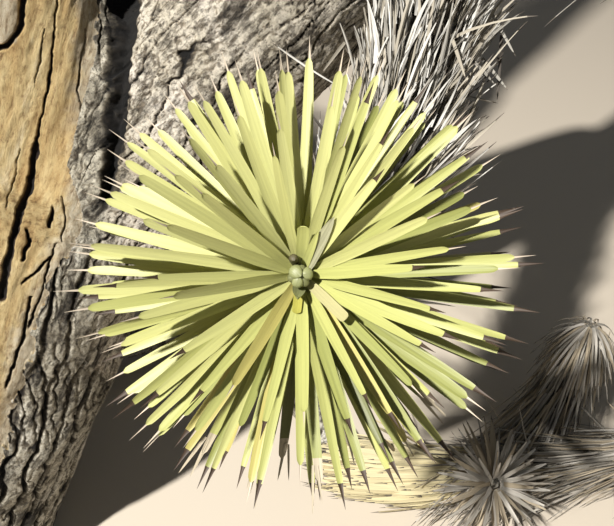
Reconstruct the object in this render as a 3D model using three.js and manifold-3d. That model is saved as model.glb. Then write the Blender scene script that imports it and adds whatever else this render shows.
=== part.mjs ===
// A rooted tree yucca: a leaning trunk that forks low, boughs, and arms that are thick with dead
// leaves and end in a rosette of bayonet leaves. A dead low limb lies along the ground.
// Millimetres, +Z up. The origin is on the flat cut at ground level, under the trunk.

import * as THREE from 'three';
import { mergeVertices } from 'three/addons/utils/BufferGeometryUtils.js';
import Module from 'manifold-3d';

const wasm = await Module();
wasm.setup();

// Driving dimensions
const CLEARANCE = 0.3;         // between solids that meet
const SLANT_SHARE = 1.25;      // how much more a limb grows, to keep that clearance on slanted faces too
const LEAF_LENGTH = 212;       // live leaf, from the stem's axis to the tip of its spine
const LEAF_WIDTH = 18;
const LEAVES_PER_BLADE = 1.45; // how much wider a blade is where it stands for more than one leaf
const LIVE_LEAVES = 20;
const DEAD_LENGTH = 170;       // weathered leaf, folded back along its arm
const DEAD_WIDTH = 20;
const DEAD_LEAVES = 8;
const DEAD_ROOT = 0.5;         // how far out in the core a dead leaf starts
const ARM_RADIUS = 54;         // dense core of an arm, under the leaves that stand out of it
const ARM_TIP_RADIUS = 40;
const ARM_SWELL = 0.3;         // how much wider the core is half way along
const CROWN_LENGTH = 56;       // growing tip that carries one rosette
const LIMB_SIDES = 12;
const FLARE = 0.26;            // how much wider the trunk is at the ground
const FLARE_HEIGHT = 95;
const FLARE_LOBES = 5;
const FLAT_POWER = 2.5;        // how square a flattened limb is
const GNARL = 0.035;           // unevenness of the limbs, as a share of their radius
const GROUND_BLOCK = 1600;     // block that cuts the trunk flat at the ground
const GOLDEN_ANGLE = Math.PI * (3 - Math.sqrt(5));

// Woody limbs, each along a curve of three points, with its foot and tip radius. A flat limb is
// shallower on the side at a turn in degrees.
const LIMBS = {
  trunk: { from: [-50, 0, -120], via: [185, -30, 330], to: [355, 110, 690], foot: 242, tip: 224,
    flat: { turn: 0, depth: 0.8 }, steps: 12, sides: 20 },
  left_stem: { from: [285, 40, 540], via: [382, 260, 800], to: [430, 340, 1600], foot: 184, tip: 132,
    flat: { turn: 90, depth: 0.62 }, on: ['trunk'] },
  right_limb: { from: [460, 150, 600], via: [620, 290, 880], to: [1000, 370, 1140], foot: 180, tip: 136,
    on: ['trunk', 'left_stem'] },
  left_bough: { from: [430, 340, 1600], via: [290, 280, 1950], to: [-40, 230, 2180], foot: 100, tip: 72,
    on: ['left_stem'] },
  top_bough: { from: [430, 340, 1620], via: [470, 360, 1980], to: [550, 430, 2350], foot: 100, tip: 70,
    on: ['left_stem', 'left_bough'] },
  back_bough: { from: [420, 350, 1530], via: [330, 600, 1720], to: [190, 860, 1960], foot: 94, tip: 70,
    on: ['left_stem', 'left_bough', 'top_bough'] },
  right_bough: { from: [990, 360, 1120], via: [1120, 430, 1420], to: [1140, 440, 1800], foot: 90, tip: 68,
    on: ['right_limb'] },
  far_bough: { from: [1000, 370, 1130], via: [1270, 570, 1210], to: [1540, 660, 1420], foot: 88, tip: 66,
    on: ['right_limb', 'right_bough'] },
  dead_limb: { from: [130, 140, 85], via: [290, 392, 66], to: [480, 400, 61], foot: 44, tip: 40,
    sides: 8, on: ['trunk'] },
  dead_limb_end: { from: [480, 400, 61], via: [720, 410, 56], to: [868, 66, 66], foot: 40, tip: 36,
    sides: 8, on: ['dead_limb'] },
};

// Live arms, each from the tip of the limb that carries it to the base of its rosette
const ARMS = [
  { name: 'front', live: 57, dead: 25, facing: [0, -1, 1],
    from: [985, 330, 1095], via: [935, 35, 745], to: [794, -208, 892] },
  { name: 'left_low', from: [395, 290, 1200], via: [165, 410, 1240], to: [-90, 490, 1510] },
  { name: 'left_out', from: [-40, 230, 2170], via: [-300, 200, 2240], to: [-570, 160, 2470] },
  { name: 'left_fore', from: [-40, 230, 2180], via: [30, 40, 2400], to: [-50, -100, 2730] },
  { name: 'left_rear', from: [-50, 240, 2180], via: [-200, 460, 2390], to: [-300, 570, 2710] },
  { name: 'top_left', from: [550, 430, 2340], via: [430, 370, 2620], to: [340, 260, 2920] },
  { name: 'top_right', from: [550, 430, 2340], via: [690, 500, 2530], to: [860, 530, 2810] },
  { name: 'top_rear', from: [550, 430, 2340], via: [550, 610, 2560], to: [480, 750, 2870] },
  { name: 'back_left', from: [190, 860, 1950], via: [10, 1010, 2060], to: [-230, 1090, 2310] },
  { name: 'back_right', from: [190, 860, 1950], via: [270, 1040, 2150], to: [350, 1150, 2450] },
  { name: 'right_fore', from: [1140, 440, 1790], via: [1040, 330, 2040], to: [960, 180, 2310] },
  { name: 'right_out', from: [1140, 440, 1790], via: [1310, 460, 1970], to: [1520, 410, 2220] },
  { name: 'right_low', from: [1000, 350, 1120], via: [1240, 200, 1090], to: [1440, 40, 1290] },
  { name: 'far_out', from: [1540, 660, 1410], via: [1760, 590, 1480], to: [1960, 440, 1720] },
  { name: 'far_rear', from: [1540, 660, 1410], via: [1600, 860, 1560], to: [1600, 1040, 1830] },
];

// Dead arms on the ground past the end of the dead limb, with the heads that three of them end in
const DEAD_RADIUS = 50;
const DEAD_ARMS = [
  { name: 'dead_skirt', dead: 16, head: 0, from: [868, 66, 72], via: [1000, 20, 74], to: [1150, 30, 76] },
  { name: 'dead_head_fore', dead: 2, head: 20,
    from: [1134, 36, 70], via: [1142, 4, 108], to: [1150, -34, 152] },
  { name: 'dead_head_rear', dead: 14, head: 8,
    from: [1150, 30, 76], via: [1340, 190, 70], to: [1358, 226, 292] },
  { name: 'dead_head_out', dead: 12, head: 8,
    from: [1150, 30, 76], via: [1400, 60, 74], to: [1640, 90, 104] },
];

// Colours
const BARK = { color: 0x8f8474, roughness: 0.95 };
const LIVE = { color: 0xc9cf70, roughness: 0.5 };
const WEATHERED = { color: 0xb3ada0, roughness: 0.85 };

// A repeatable random number from 0 to 1, drawn again for each use
function randomFrom(seed) {
  let state = (seed * 2654435761) % 4294967296;
  return () => {
    state = (state * 1664525 + 1013904223) % 4294967296;
    return state / 4294967296;
  };
}

const vector = (point) => new THREE.Vector3(...point);

const curveOf = ({ from, via, to }) => new THREE.QuadraticBezierCurve3(...[from, via, to].map(vector));

function toSolid(geometry) {
  const bare = geometry.clone();
  bare.deleteAttribute('normal');
  bare.deleteAttribute('uv');
  const merged = mergeVertices(bare, 1e-3);
  return new wasm.Manifold(new wasm.Mesh({
    numProp: 3,
    vertProperties: merged.attributes.position.array,
    triVerts: new Uint32Array(merged.index.array),
  }));
}

function toGeometry(solid) {
  const mesh = solid.getMesh();
  const geometry = new THREE.BufferGeometry();
  geometry.setAttribute('position', new THREE.BufferAttribute(mesh.vertProperties, 3));
  geometry.setIndex(new THREE.BufferAttribute(mesh.triVerts, 1));
  geometry.computeVertexNormals();
  return geometry;
}

// The largest body of a solid, without the scraps that a cut leaves
function mainBody(solid) {
  return solid.decompose().reduce((best, body) => (body.volume() > best.volume() ? body : best));
}

// A closed geometry from rings of equal count, drawn to a point at each end
function skin(start, rings, end) {
  const sides = rings[0].length;
  const points = [start, ...rings.flat(), end];
  const last = points.length - 1;
  const index = [];
  for (let j = 0; j < sides; j += 1) {
    const k = (j + 1) % sides;
    index.push(0, 1 + k, 1 + j);
    for (let i = 0; i < rings.length - 1; i += 1) {
      const a = 1 + i * sides;
      const b = a + sides;
      index.push(a + j, a + k, b + k, a + j, b + k, b + j);
    }
    index.push(last, last - sides + j, last - sides + k);
  }
  const geometry = new THREE.BufferGeometry().setFromPoints(points);
  geometry.setIndex(index);
  return geometry;
}

// A tapering limb along its curve, with a domed or a flat tip. shape gives its radius at a share
// of its length, and grow makes it larger all over, to cut its neighbours clear of it.
function limbGeometry(limb, { steps = 8, sides = LIMB_SIDES, dome = 0.5, grow = 0, shape }) {
  const curve = curveOf(limb);
  const frames = curve.computeFrenetFrames(steps, false);
  const ringAt = (centre, step, radiusAt) => Array.from({ length: sides }, (_, j) => {
    const angle = 2 * Math.PI * j / sides;
    return centre.clone()
      .addScaledVector(frames.normals[step], radiusAt(angle) * Math.cos(angle))
      .addScaledVector(frames.binormals[step], radiusAt(angle) * Math.sin(angle));
  });
  const rings = [];
  for (let i = 0; i <= steps; i += 1) {
    const centre = curve.getPointAt(i / steps);
    rings.push(ringAt(centre, i, (angle) => shape(i / steps, centre, angle) + grow));
  }
  const tangent = frames.tangents[steps];
  const end = curve.getPointAt(1);
  const tip = shape(1, end, 0);
  if (dome) {
    const shoulder = end.clone().addScaledVector(tangent, tip * dome * 0.7 + grow);
    rings.push(ringAt(shoulder, steps, (angle) => shape(1, end, angle) * 0.7 + grow));
  } else {
    rings[steps].forEach((point) => point.addScaledVector(tangent, grow));
  }
  rings[0].forEach((point) => point.addScaledVector(frames.tangents[0], -grow));
  const start = curve.getPointAt(0).addScaledVector(frames.tangents[0], -grow);
  return skin(start, rings, end.addScaledVector(tangent, tip * dome + grow));
}

// Slow unevenness round and along a limb, from -1 to 1
function gnarl(share, angle, seed) {
  return 0.5 * Math.sin(3 * angle + 7 * share + seed) + 0.5 * Math.sin(5 * angle - 19 * share + 2 * seed);
}

// Radius of a section of radius 1 that is shallower on the side at a turn in degrees
function flattened(angle, { turn, depth }) {
  const offset = angle - THREE.MathUtils.degToRad(turn);
  const ahead = Math.cos(offset) > 0 ? Math.cos(offset) / depth : -Math.cos(offset);
  return (Math.abs(Math.sin(offset)) ** FLAT_POWER + ahead ** FLAT_POWER) ** (-1 / FLAT_POWER);
}

// A limb tapers, may be flat on one side, and is a little uneven
function woody(name, limb) {
  return (share, centre, angle) => THREE.MathUtils.lerp(limb.foot, limb.tip, share)
    * (limb.flat ? flattened(angle, limb.flat) : 1)
    * (1 + GNARL * gnarl(share, angle, name.length));
}

// The trunk widens at its foot into rounded buttresses
function flared(name, limb) {
  const radius = woody(name, limb);
  return (share, centre, angle) => {
    const rise = Math.exp(-Math.max(centre.z, 0) / FLARE_HEIGHT);
    return radius(share, centre, angle) * (1 + FLARE * rise * (1 + 0.3 * Math.cos(FLARE_LOBES * angle)));
  };
}

// The core of an arm swells half way along
function swollen(foot, tip) {
  return (share) => THREE.MathUtils.lerp(foot, tip, share) * (1 + ARM_SWELL * Math.sin(Math.PI * share));
}

// One bayonet leaf: a flat upper face over a keel, widest at its rings, pointed at both ends
function leafGeometry({ root, along, face, length, width, droop, rings }) {
  const side = along.clone().cross(face).normalize();
  const under = face.clone().negate();
  const depth = Math.max(width * 0.3, length * 0.02);
  const stations = rings === 2 ? [[0.3, 1], [0.8, 0.75]] : [[0.4, 1]];
  const at = (share) => root.clone()
    .addScaledVector(along, length * share)
    .addScaledVector(under, droop * length * share * share);
  const ringed = stations.map(([share, breadth]) => [
    at(share).addScaledVector(side, width * breadth / 2),
    at(share).addScaledVector(under, depth * breadth),
    at(share).addScaledVector(side, -width * breadth / 2),
  ]);
  return skin(root, ringed, at(1));
}

// Adds each leaf that keeps clear of every obstacle, and fuses them all to the core
function massOf(core, leaves, obstacles) {
  const near = obstacles.map((solid) => ({ solid, box: solid.boundingBox() }));
  const isClear = (leaf) => {
    const box = leaf.boundingBox();
    const isApart = (other) => [0, 1, 2].some((i) => (
      box.min[i] > other.max[i] + CLEARANCE || other.min[i] > box.max[i] + CLEARANCE));
    return box.min[2] > CLEARANCE
      && near.every((other) => isApart(other.box) || leaf.minGap(other.solid, 2) > CLEARANCE);
  };
  const kept = leaves.map((leaf) => toSolid(leafGeometry(leaf))).filter(isClear);
  return mainBody(wasm.Manifold.union([core, ...kept]));
}

// A direction at an angle from an axis, turned about it
function spread(axis, polar, turn) {
  const helper = Math.abs(axis.z) < 0.9 ? new THREE.Vector3(0, 0, 1) : new THREE.Vector3(1, 0, 0);
  const u = helper.cross(axis).normalize();
  const v = axis.clone().cross(u);
  return axis.clone().multiplyScalar(Math.cos(polar))
    .addScaledVector(u, Math.sin(polar) * Math.cos(turn))
    .addScaledVector(v, Math.sin(polar) * Math.sin(turn));
}

// The flat upper face of a leaf looks up the stem
function faceOf(axis, along) {
  return axis.clone().addScaledVector(along, -axis.dot(along)).normalize();
}

// Live leaves in a spiral round the growing tip, the youngest upright and the oldest bent back
function rosetteLeaves({ base, axis, count, broad, seed }) {
  const random = randomFrom(seed);
  return Array.from({ length: count }, (_, i) => {
    const age = (i + 0.5) / count;
    const polar = THREE.MathUtils.degToRad(38 + 66 * age ** 0.8 + 7 * (random() - 0.5));
    const along = spread(axis, polar, i * GOLDEN_ANGLE + 0.2 * (random() - 0.5));
    const youth = 0.74 + 0.26 * THREE.MathUtils.smoothstep(age, 0, 0.4);
    return {
      root: base.clone().addScaledVector(axis, CROWN_LENGTH * (0.72 - 0.5 * age)),
      along,
      face: faceOf(axis, along),
      length: LEAF_LENGTH * (0.92 + 0.08 * random()) * youth,
      width: LEAF_WIDTH * (broad ? LEAVES_PER_BLADE : 1),
      droop: 0.04 * random(),
      rings: broad ? 1 : 2,
    };
  });
}

// Dead leaves in a spiral down an arm, rooted in its core and folded back towards its foot
function skirtLeaves({ curve, count, first, seed }) {
  const random = randomFrom(seed);
  return Array.from({ length: count }, (_, i) => {
    const share = first + (0.97 - first) * (i + 0.5) / count;
    const axis = curve.getTangentAt(share);
    const along = spread(axis, THREE.MathUtils.degToRad(148 + 12 * random()), i * GOLDEN_ANGLE);
    const outward = spread(axis, Math.PI / 2, i * GOLDEN_ANGLE);
    return {
      root: curve.getPointAt(share).addScaledVector(outward, ARM_RADIUS * DEAD_ROOT),
      along,
      face: faceOf(axis, along),
      length: DEAD_LENGTH * (0.85 + 0.3 * random()),
      width: DEAD_WIDTH,
      droop: -0.05,
      rings: 1,
    };
  });
}

// Dry leaves that still stand round the tip of a dead head
function deadHeadLeaves({ curve, count, seed }) {
  const random = randomFrom(seed);
  const axis = curve.getTangentAt(1);
  return Array.from({ length: count }, (_, i) => {
    const polar = THREE.MathUtils.degToRad(62 + 62 * i / count + 10 * random());
    const along = spread(axis, polar, i * GOLDEN_ANGLE);
    return {
      root: curve.getPointAt(1).addScaledVector(axis, -12),
      along,
      face: faceOf(axis, along),
      length: DEAD_LENGTH * (0.8 + 0.2 * random()),
      width: DEAD_WIDTH,
      droop: 0.15,
      rings: 1,
    };
  });
}

// The growing tip under a rosette: a flat-based bud on its axis
function crownGeometry(base, axis) {
  const profile = [
    [0, 0], [ARM_TIP_RADIUS, 0], [ARM_TIP_RADIUS, CROWN_LENGTH * 0.5],
    [ARM_TIP_RADIUS * 0.6, CROWN_LENGTH * 0.9], [0, CROWN_LENGTH],
  ].map(([x, y]) => new THREE.Vector2(x, y));
  const turn = new THREE.Quaternion().setFromUnitVectors(new THREE.Vector3(0, 1, 0), axis);
  return new THREE.LatheGeometry(profile, 8).applyQuaternion(turn).translate(base.x, base.y, base.z);
}

// A solid along a curve, cut clear of what it meets, and the larger form that cuts others clear of it
function stemOf(limb, options, neighbours) {
  const grow = CLEARANCE * SLANT_SHARE / Math.cos(Math.PI / (options.sides ?? LIMB_SIDES));
  const whole = toSolid(limbGeometry(limb, options));
  const solid = mainBody(neighbours.reduce((rest, other) => rest.subtract(other), whole));
  return { solid, clear: toSolid(limbGeometry(limb, { ...options, grow })) };
}

function buildLimbs() {
  const limbs = {};
  for (const [name, limb] of Object.entries(LIMBS)) {
    const neighbours = (limb.on ?? []).map((other) => limbs[other].clear);
    const shape = name === 'trunk' ? flared(name, limb) : woody(name, limb);
    limbs[name] = stemOf(limb, { steps: limb.steps, sides: limb.sides, shape }, neighbours);
  }
  const ground = new THREE.BoxGeometry(GROUND_BLOCK, GROUND_BLOCK, GROUND_BLOCK);
  ground.translate(0, 0, -GROUND_BLOCK / 2);
  limbs.trunk.solid = limbs.trunk.solid.subtract(toSolid(ground));
  return limbs;
}

// Cores of a row of arms, each cut clear of the limbs and of the arms before it
function buildCores(arms, shape, limbs) {
  const cutters = Object.values(limbs).map((limb) => limb.clear);
  return arms.map((arm) => {
    const core = stemOf(arm, { steps: 5, sides: 8, dome: 0, shape }, cutters);
    cutters.push(core.clear);
    return { ...core, arm, curve: curveOf(arm) };
  });
}

const tree = new THREE.Group();
const taken = [];

function addNode(name, solid, look) {
  const mesh = new THREE.Mesh(toGeometry(solid), new THREE.MeshStandardMaterial({ ...look, metalness: 0 }));
  mesh.name = name;
  tree.add(mesh);
  taken.push(solid);
}

// Adds a core with its leaves, which keep clear of every other solid
function addMass(name, core, leaves, others, look) {
  addNode(name, massOf(core, leaves, [...taken, ...others]), look);
}

const limbs = buildLimbs();
for (const [name, limb] of Object.entries(limbs)) addNode(name, limb.solid, BARK);

const cores = buildCores(ARMS, swollen(ARM_RADIUS, ARM_TIP_RADIUS), limbs);
const deadCores = buildCores(DEAD_ARMS, swollen(DEAD_RADIUS, DEAD_RADIUS * 0.85), limbs);
const allCores = [...cores, ...deadCores];

cores.forEach(({ solid, clear, arm, curve }, i) => {
  const axis = arm.facing ? vector(arm.facing).normalize() : curve.getTangentAt(1);
  const base = curve.getPointAt(1).addScaledVector(axis, CLEARANCE);
  const crown = mainBody(toSolid(crownGeometry(base, axis)).subtract(clear));
  const count = arm.live ?? LIVE_LEAVES;
  const live = rosetteLeaves({ base, axis, count, broad: !arm.live, seed: i + 1 });
  addMass(`rosette_${arm.name}`, crown, live, allCores.map((core) => core.solid), LIVE);
  const dead = skirtLeaves({ curve, count: arm.dead ?? DEAD_LEAVES, first: 0.25, seed: i + 101 });
  const others = allCores.filter((core) => core.solid !== solid).map((core) => core.solid);
  addMass(`skirt_${arm.name}`, solid, dead, others, WEATHERED);
});

deadCores.forEach(({ solid, arm, curve }, i) => {
  const leaves = [
    ...skirtLeaves({ curve, count: arm.dead, first: 0.3, seed: i + 201 }),
    ...deadHeadLeaves({ curve, count: arm.head, seed: i + 301 }),
  ];
  const others = deadCores.filter((core) => core.solid !== solid).map((core) => core.solid);
  addMass(arm.name, solid, leaves, others, WEATHERED);
});

export default tree;
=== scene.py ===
"""Looks of the tree yucca: corky bark with a strip of bare wood, arms clothed in dead leaves and
rosettes of bayonet leaves. The limbs and the spirals of leaves follow the part's own rule."""

import math
from contextlib import contextmanager

import bmesh
import bpy
import numpy as np
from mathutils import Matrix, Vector


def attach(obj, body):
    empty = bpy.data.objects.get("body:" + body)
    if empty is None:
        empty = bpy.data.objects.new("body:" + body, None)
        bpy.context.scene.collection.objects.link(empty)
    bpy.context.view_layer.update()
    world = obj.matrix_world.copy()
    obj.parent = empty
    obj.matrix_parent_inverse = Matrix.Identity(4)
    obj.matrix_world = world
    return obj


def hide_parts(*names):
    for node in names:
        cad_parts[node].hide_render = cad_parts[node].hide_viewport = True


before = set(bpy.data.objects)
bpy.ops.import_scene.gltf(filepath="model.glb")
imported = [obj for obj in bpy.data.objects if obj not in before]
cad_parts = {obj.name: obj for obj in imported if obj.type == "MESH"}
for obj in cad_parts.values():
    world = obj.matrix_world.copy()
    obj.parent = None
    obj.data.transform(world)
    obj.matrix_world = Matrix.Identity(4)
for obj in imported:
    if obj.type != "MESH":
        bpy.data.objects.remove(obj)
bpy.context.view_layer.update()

# Camera, in metres and degrees, and the photograph's frame, in pixels
PHOTO_WIDTH = 614
PHOTO_HEIGHT = 526
FOCAL_PIXELS = 742
SENSOR_MM = 36.0
CAMERA_PLACE = np.array((0.80, -0.72, 1.42))
CAMERA_PITCH = math.radians(45)

# Places and sizes of the plant, in millimetres, as in the part
MM = 0.001
GOLDEN_ANGLE = math.pi * (3 - math.sqrt(5))
# Start, via and end, radius at the foot and at the tip, and the turn and depth of a flat side
LIMBS = {
    "trunk": ((-50, 0, -120), (185, -30, 330), (355, 110, 690), 242, 224, 0, 0.80),
    "left_stem": ((285, 40, 540), (382, 260, 800), (430, 340, 1600), 184, 132, 90, 0.62),
    "right_limb": ((460, 150, 600), (620, 290, 880), (1000, 370, 1140), 180, 136),
    "left_bough": ((430, 340, 1600), (290, 280, 1950), (-40, 230, 2180), 100, 72),
    "top_bough": ((430, 340, 1620), (470, 360, 1980), (550, 430, 2350), 100, 70),
    "back_bough": ((420, 350, 1530), (330, 600, 1720), (190, 860, 1960), 94, 70),
    "right_bough": ((990, 360, 1120), (1120, 430, 1420), (1140, 440, 1800), 90, 68),
    "far_bough": ((1000, 370, 1130), (1270, 570, 1210), (1540, 660, 1420), 88, 66),
    "dead_limb": ((130, 140, 85), (290, 392, 66), (480, 400, 61), 44, 40),
    "dead_limb_end": ((480, 400, 61), (720, 410, 56), (868, 66, 66), 40, 36),
}
FLAT_POWER = 2.5            # how square the flattened limbs are
GNARL = 0.035               # unevenness of the limbs, as a share of their radius
FLARE = 0.26
FLARE_HEIGHT = 95
FLARE_LOBES = 5
# Start, via and end
ARMS = {
    "front": ((985, 330, 1095), (935, 35, 745), (794, -208, 892)),
    "left_low": ((395, 290, 1200), (165, 410, 1240), (-90, 490, 1510)),
    "left_out": ((-40, 230, 2170), (-300, 200, 2240), (-570, 160, 2470)),
    "left_fore": ((-40, 230, 2180), (30, 40, 2400), (-50, -100, 2730)),
    "left_rear": ((-50, 240, 2180), (-200, 460, 2390), (-300, 570, 2710)),
    "top_left": ((550, 430, 2340), (430, 370, 2620), (340, 260, 2920)),
    "top_right": ((550, 430, 2340), (690, 500, 2530), (860, 530, 2810)),
    "top_rear": ((550, 430, 2340), (550, 610, 2560), (480, 750, 2870)),
    "back_left": ((190, 860, 1950), (10, 1010, 2060), (-230, 1090, 2310)),
    "back_right": ((190, 860, 1950), (270, 1040, 2150), (350, 1150, 2450)),
    "right_fore": ((1140, 440, 1790), (1040, 330, 2040), (960, 180, 2310)),
    "right_out": ((1140, 440, 1790), (1310, 460, 1970), (1520, 410, 2220)),
    "right_low": ((1000, 350, 1120), (1240, 200, 1090), (1440, 40, 1290)),
    "far_out": ((1540, 660, 1410), (1760, 590, 1480), (1960, 440, 1720)),
    "far_rear": ((1540, 660, 1410), (1600, 860, 1560), (1600, 1040, 1830)),
}
FRONT_FACING = (0, -1, 1)   # way that the front rosette faces
DEAD_ARMS = {
    "dead_skirt": ((868, 66, 72), (1000, 20, 74), (1150, 30, 76)),
    "dead_head_fore": ((1134, 36, 70), (1142, 4, 108), (1150, -34, 152)),
    "dead_head_rear": ((1150, 30, 76), (1340, 190, 70), (1358, 226, 292)),
    "dead_head_out": ((1150, 30, 76), (1400, 60, 74), (1640, 90, 104)),
}
STEM_RADII = (34, 26)       # of an arm under its dead leaves, at its foot and at its tip
DEAD_STEM_RADII = (30, 14)
LIGHT_SIDE = np.array((-0.62, 0.30, 0.72))      # side the key light comes from: leaves that lean towards it get the palest tints, painted light, and more often thread ends
REFLECTANCE = 0.75          # share of its light that a colour gives back, under a key light made stronger
CROWN_LENGTH = 56
LEAF_LENGTH = 212
LEAF_WIDTH = 12.6
DEAD_LENGTH = 190
DEAD_WIDTH = 4.3

# Bark
VOXEL = 0.010               # size of the cells that fuse the limbs
SOFTENING = (8, 0.5)        # rounds and strength of the smoothing after that
TUBE_SIDES = 40
TUBE_STEPS = 40
# Rings that round off a tube: how far past its tip, and how wide, in radii
ROUND_TIP = ((0.3, 0.9), (0.46, 0.6), (0.5, 0.2))
CUT_HEIGHT = 0.0003         # height of the cut at the ground, in metres
HIDDEN_BARK = (0.45, 0.35)  # bark right of and below these, in metres, lies under dead leaves
NEAREST_DEPTH = 0.05        # places nearer to the camera are read as if they lay here
GRAZING = -0.02             # how far past edge-on a face may turn and still count as seen
PLATE_DEPTH = 0.0085        # height of the plates of bark on the big limbs, in metres
BOUGH_DEPTH = 0.6 * PLATE_DEPTH
STEM_DEPTH = 0.2 * PLATE_DEPTH
BIG_LIMBS = ("trunk", "left_stem", "right_limb")
WOODY_LIMBS = BIG_LIMBS[:2]
# Size of a plate across the limb in metres, how much longer it is along it, how wide and deep its
# furrows are, and how lumpy the bark is between them
PLATES = {
    "trunk": (0.040, 5.0, 0.30, 0.30),
    "left_stem": (0.034, 4.5, 0.30, 0.34),
    "right_limb": (0.038, 2.2, 0.10, 0.20),
}
BOUGH_PLATES = (0.034, 2.0, 0.16, 0.30)
# Run of the grain on the trunk and left stem, and on the right limb
STEM_GRAIN = (0.36, 0.44, 0.82)
LIMB_GRAIN = (0.62, 0.28, 0.55)
GRAIN_STRETCH = 0.3

# Factors that turn a cell and a seed into a number
CELL_FACTORS = np.array((73856093, 19349663, 83492791), np.uint64)
SEED_FACTOR = 7919
MIXING = np.array(((15, 2246822519), (13, 3266489917)), np.uint64)
WORD = np.uint64(0xFFFFFFFF)

LEAF_VALUES = ("length", "width", "thickness", "droop", "sway", "roll", "twist", "tint", "end")
GRAIN_SHIFT = 0.37          # between the streaks of one leaf and the next, in metres


def unit(vectors):
    return vectors / np.linalg.norm(vectors, axis=-1, keepdims=True)


def dot(a, b):
    return np.sum(a * b, axis=-1, keepdims=True)


def smoothstep(low, high, x):
    t = np.clip((x - low) / (high - low), 0, 1)
    return t * t * (3 - 2 * t)


class Course:
    """A limb's curve, read by share of its length, with frames that don't twist."""

    STEPS = 64
    BATCH = 20000               # how many places are measured at a time

    def __init__(self, limb):
        ends = [np.array(place, float) * MM for place in limb[:3]]
        t = np.linspace(0, 1, self.STEPS + 1)[:, None]
        self.points = (1 - t) ** 2 * ends[0] + 2 * t * (1 - t) * ends[1] + t * t * ends[2]
        self.tangents = unit((1 - t) * (ends[1] - ends[0]) + t * (ends[2] - ends[1]))
        lengths = np.linalg.norm(np.diff(self.points, axis=0), axis=1)
        self.run = np.concatenate(([0], np.cumsum(lengths)))
        self.length = self.run[-1]
        self.normals = self._carried_normals()
        self.binormals = np.cross(self.tangents, self.normals)

    def _carried_normals(self):
        first = self.tangents[0]
        axis = np.eye(3)[2 - int(np.argmin(np.abs(first)[::-1]))]
        normals = [np.cross(first, unit(np.cross(first, axis)))]
        for tangent in self.tangents[1:]:
            carried = normals[-1] - tangent * (normals[-1] @ tangent)
            normals.append(carried / np.linalg.norm(carried))
        return np.array(normals)

    def _at(self, values, share):
        place = np.clip(share, 0, 1) * self.length
        return np.stack([np.interp(place, self.run, values[:, i]) for i in range(3)], axis=-1)

    def point(self, share):
        return self._at(self.points, share)

    def tangent(self, share):
        return unit(self._at(self.tangents, share))

    def normal(self, share):
        return unit(self._at(self.normals, share))

    def binormal(self, share):
        return unit(self._at(self.binormals, share))

    def nearest(self, places):
        """Share of the length, offset from the axis and distance, for each place."""
        share = np.empty(len(places))
        for low in range(0, len(places), self.BATCH):
            part = places[low:low + self.BATCH]
            gaps = ((part[:, None, :] - self.points[None]) ** 2).sum(axis=2)
            k = gaps.argmin(axis=1)
            along = ((part - self.points[k]) * self.tangents[k]).sum(axis=1)
            share[low:low + self.BATCH] = np.clip((self.run[k] + along) / self.length, 0, 1)
        offset = places - self.point(share)
        return share, offset, np.linalg.norm(offset, axis=1)


def hash_cells(cells, seed):
    """A repeatable number from 0 to 1 for each whole-numbered cell."""
    x, y, z = (cells.astype(np.int64).astype(np.uint64) * CELL_FACTORS).T
    h = ((x ^ y ^ z) + np.uint64(seed * SEED_FACTOR + 1)) & WORD
    for shift, factor in MIXING:
        h = (h ^ (h >> shift)) * factor & WORD
    return h.astype(float) / 2.0 ** 32


def soft_noise(places, seed):
    """Smooth noise from -1 to 1, one cell to a unit."""
    base = np.floor(places)
    t = places - base
    t = t * t * (3 - 2 * t)
    total = np.zeros(len(places))
    for corner in np.ndindex(2, 2, 2):
        weight = np.prod(np.where(corner, t, 1 - t), axis=1)
        total += weight * hash_cells(base + corner, seed)
    return total * 2 - 1


def spread(axis, polar, turn):
    """Directions at an angle from an axis, turned about it."""
    helper = np.where(np.abs(axis[:, 2:3]) < 0.9, (0.0, 0.0, 1.0), (1.0, 0.0, 0.0))
    u = unit(np.cross(helper, axis))
    v = np.cross(axis, u)
    polar = polar[:, None]
    turn = turn[:, None]
    return axis * np.cos(polar) + np.sin(polar) * (u * np.cos(turn) + v * np.sin(turn))


def linked(name, data):
    """A new object in the scene."""
    piece = bpy.data.objects.new(name, data)
    bpy.context.scene.collection.objects.link(piece)
    return piece


@contextmanager
def edited(mesh):
    """Opens a mesh for editing, and puts the changes back afterwards."""
    work = bmesh.new()
    work.from_mesh(mesh)
    yield work
    work.to_mesh(mesh)
    work.free()
    mesh.update()


def fill(rows, key, values, kind=np.float32):
    """Sets a property of a mesh's elements from an array."""
    rows.foreach_set(key, values.astype(kind).ravel())


def filled(rows, key, count, kind=np.float32):
    """A property of a mesh's elements as a flat array."""
    values = np.empty(count, kind)
    rows.foreach_get(key, values)
    return values


def quads_object(name, vertices, quads, materials, slots, uvs):
    """A mesh object from arrays, with a material's number for each face."""
    mesh = bpy.data.meshes.new(name)
    for material in materials:
        mesh.materials.append(material)
    mesh.vertices.add(len(vertices))
    mesh.loops.add(quads.size)
    mesh.polygons.add(len(quads))
    fill(mesh.vertices, "co", vertices)
    fill(mesh.loops, "vertex_index", quads, np.int32)
    fill(mesh.polygons, "loop_start", np.arange(0, quads.size, 4), np.int32)
    fill(mesh.polygons, "material_index", slots, np.int32)
    fill(mesh.uv_layers.new(name="UVMap").data, "uv", uvs[quads.ravel()])
    mesh.update(calc_edges=True)
    mesh.validate()
    mesh.shade_smooth()
    return linked(name, mesh)


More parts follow.
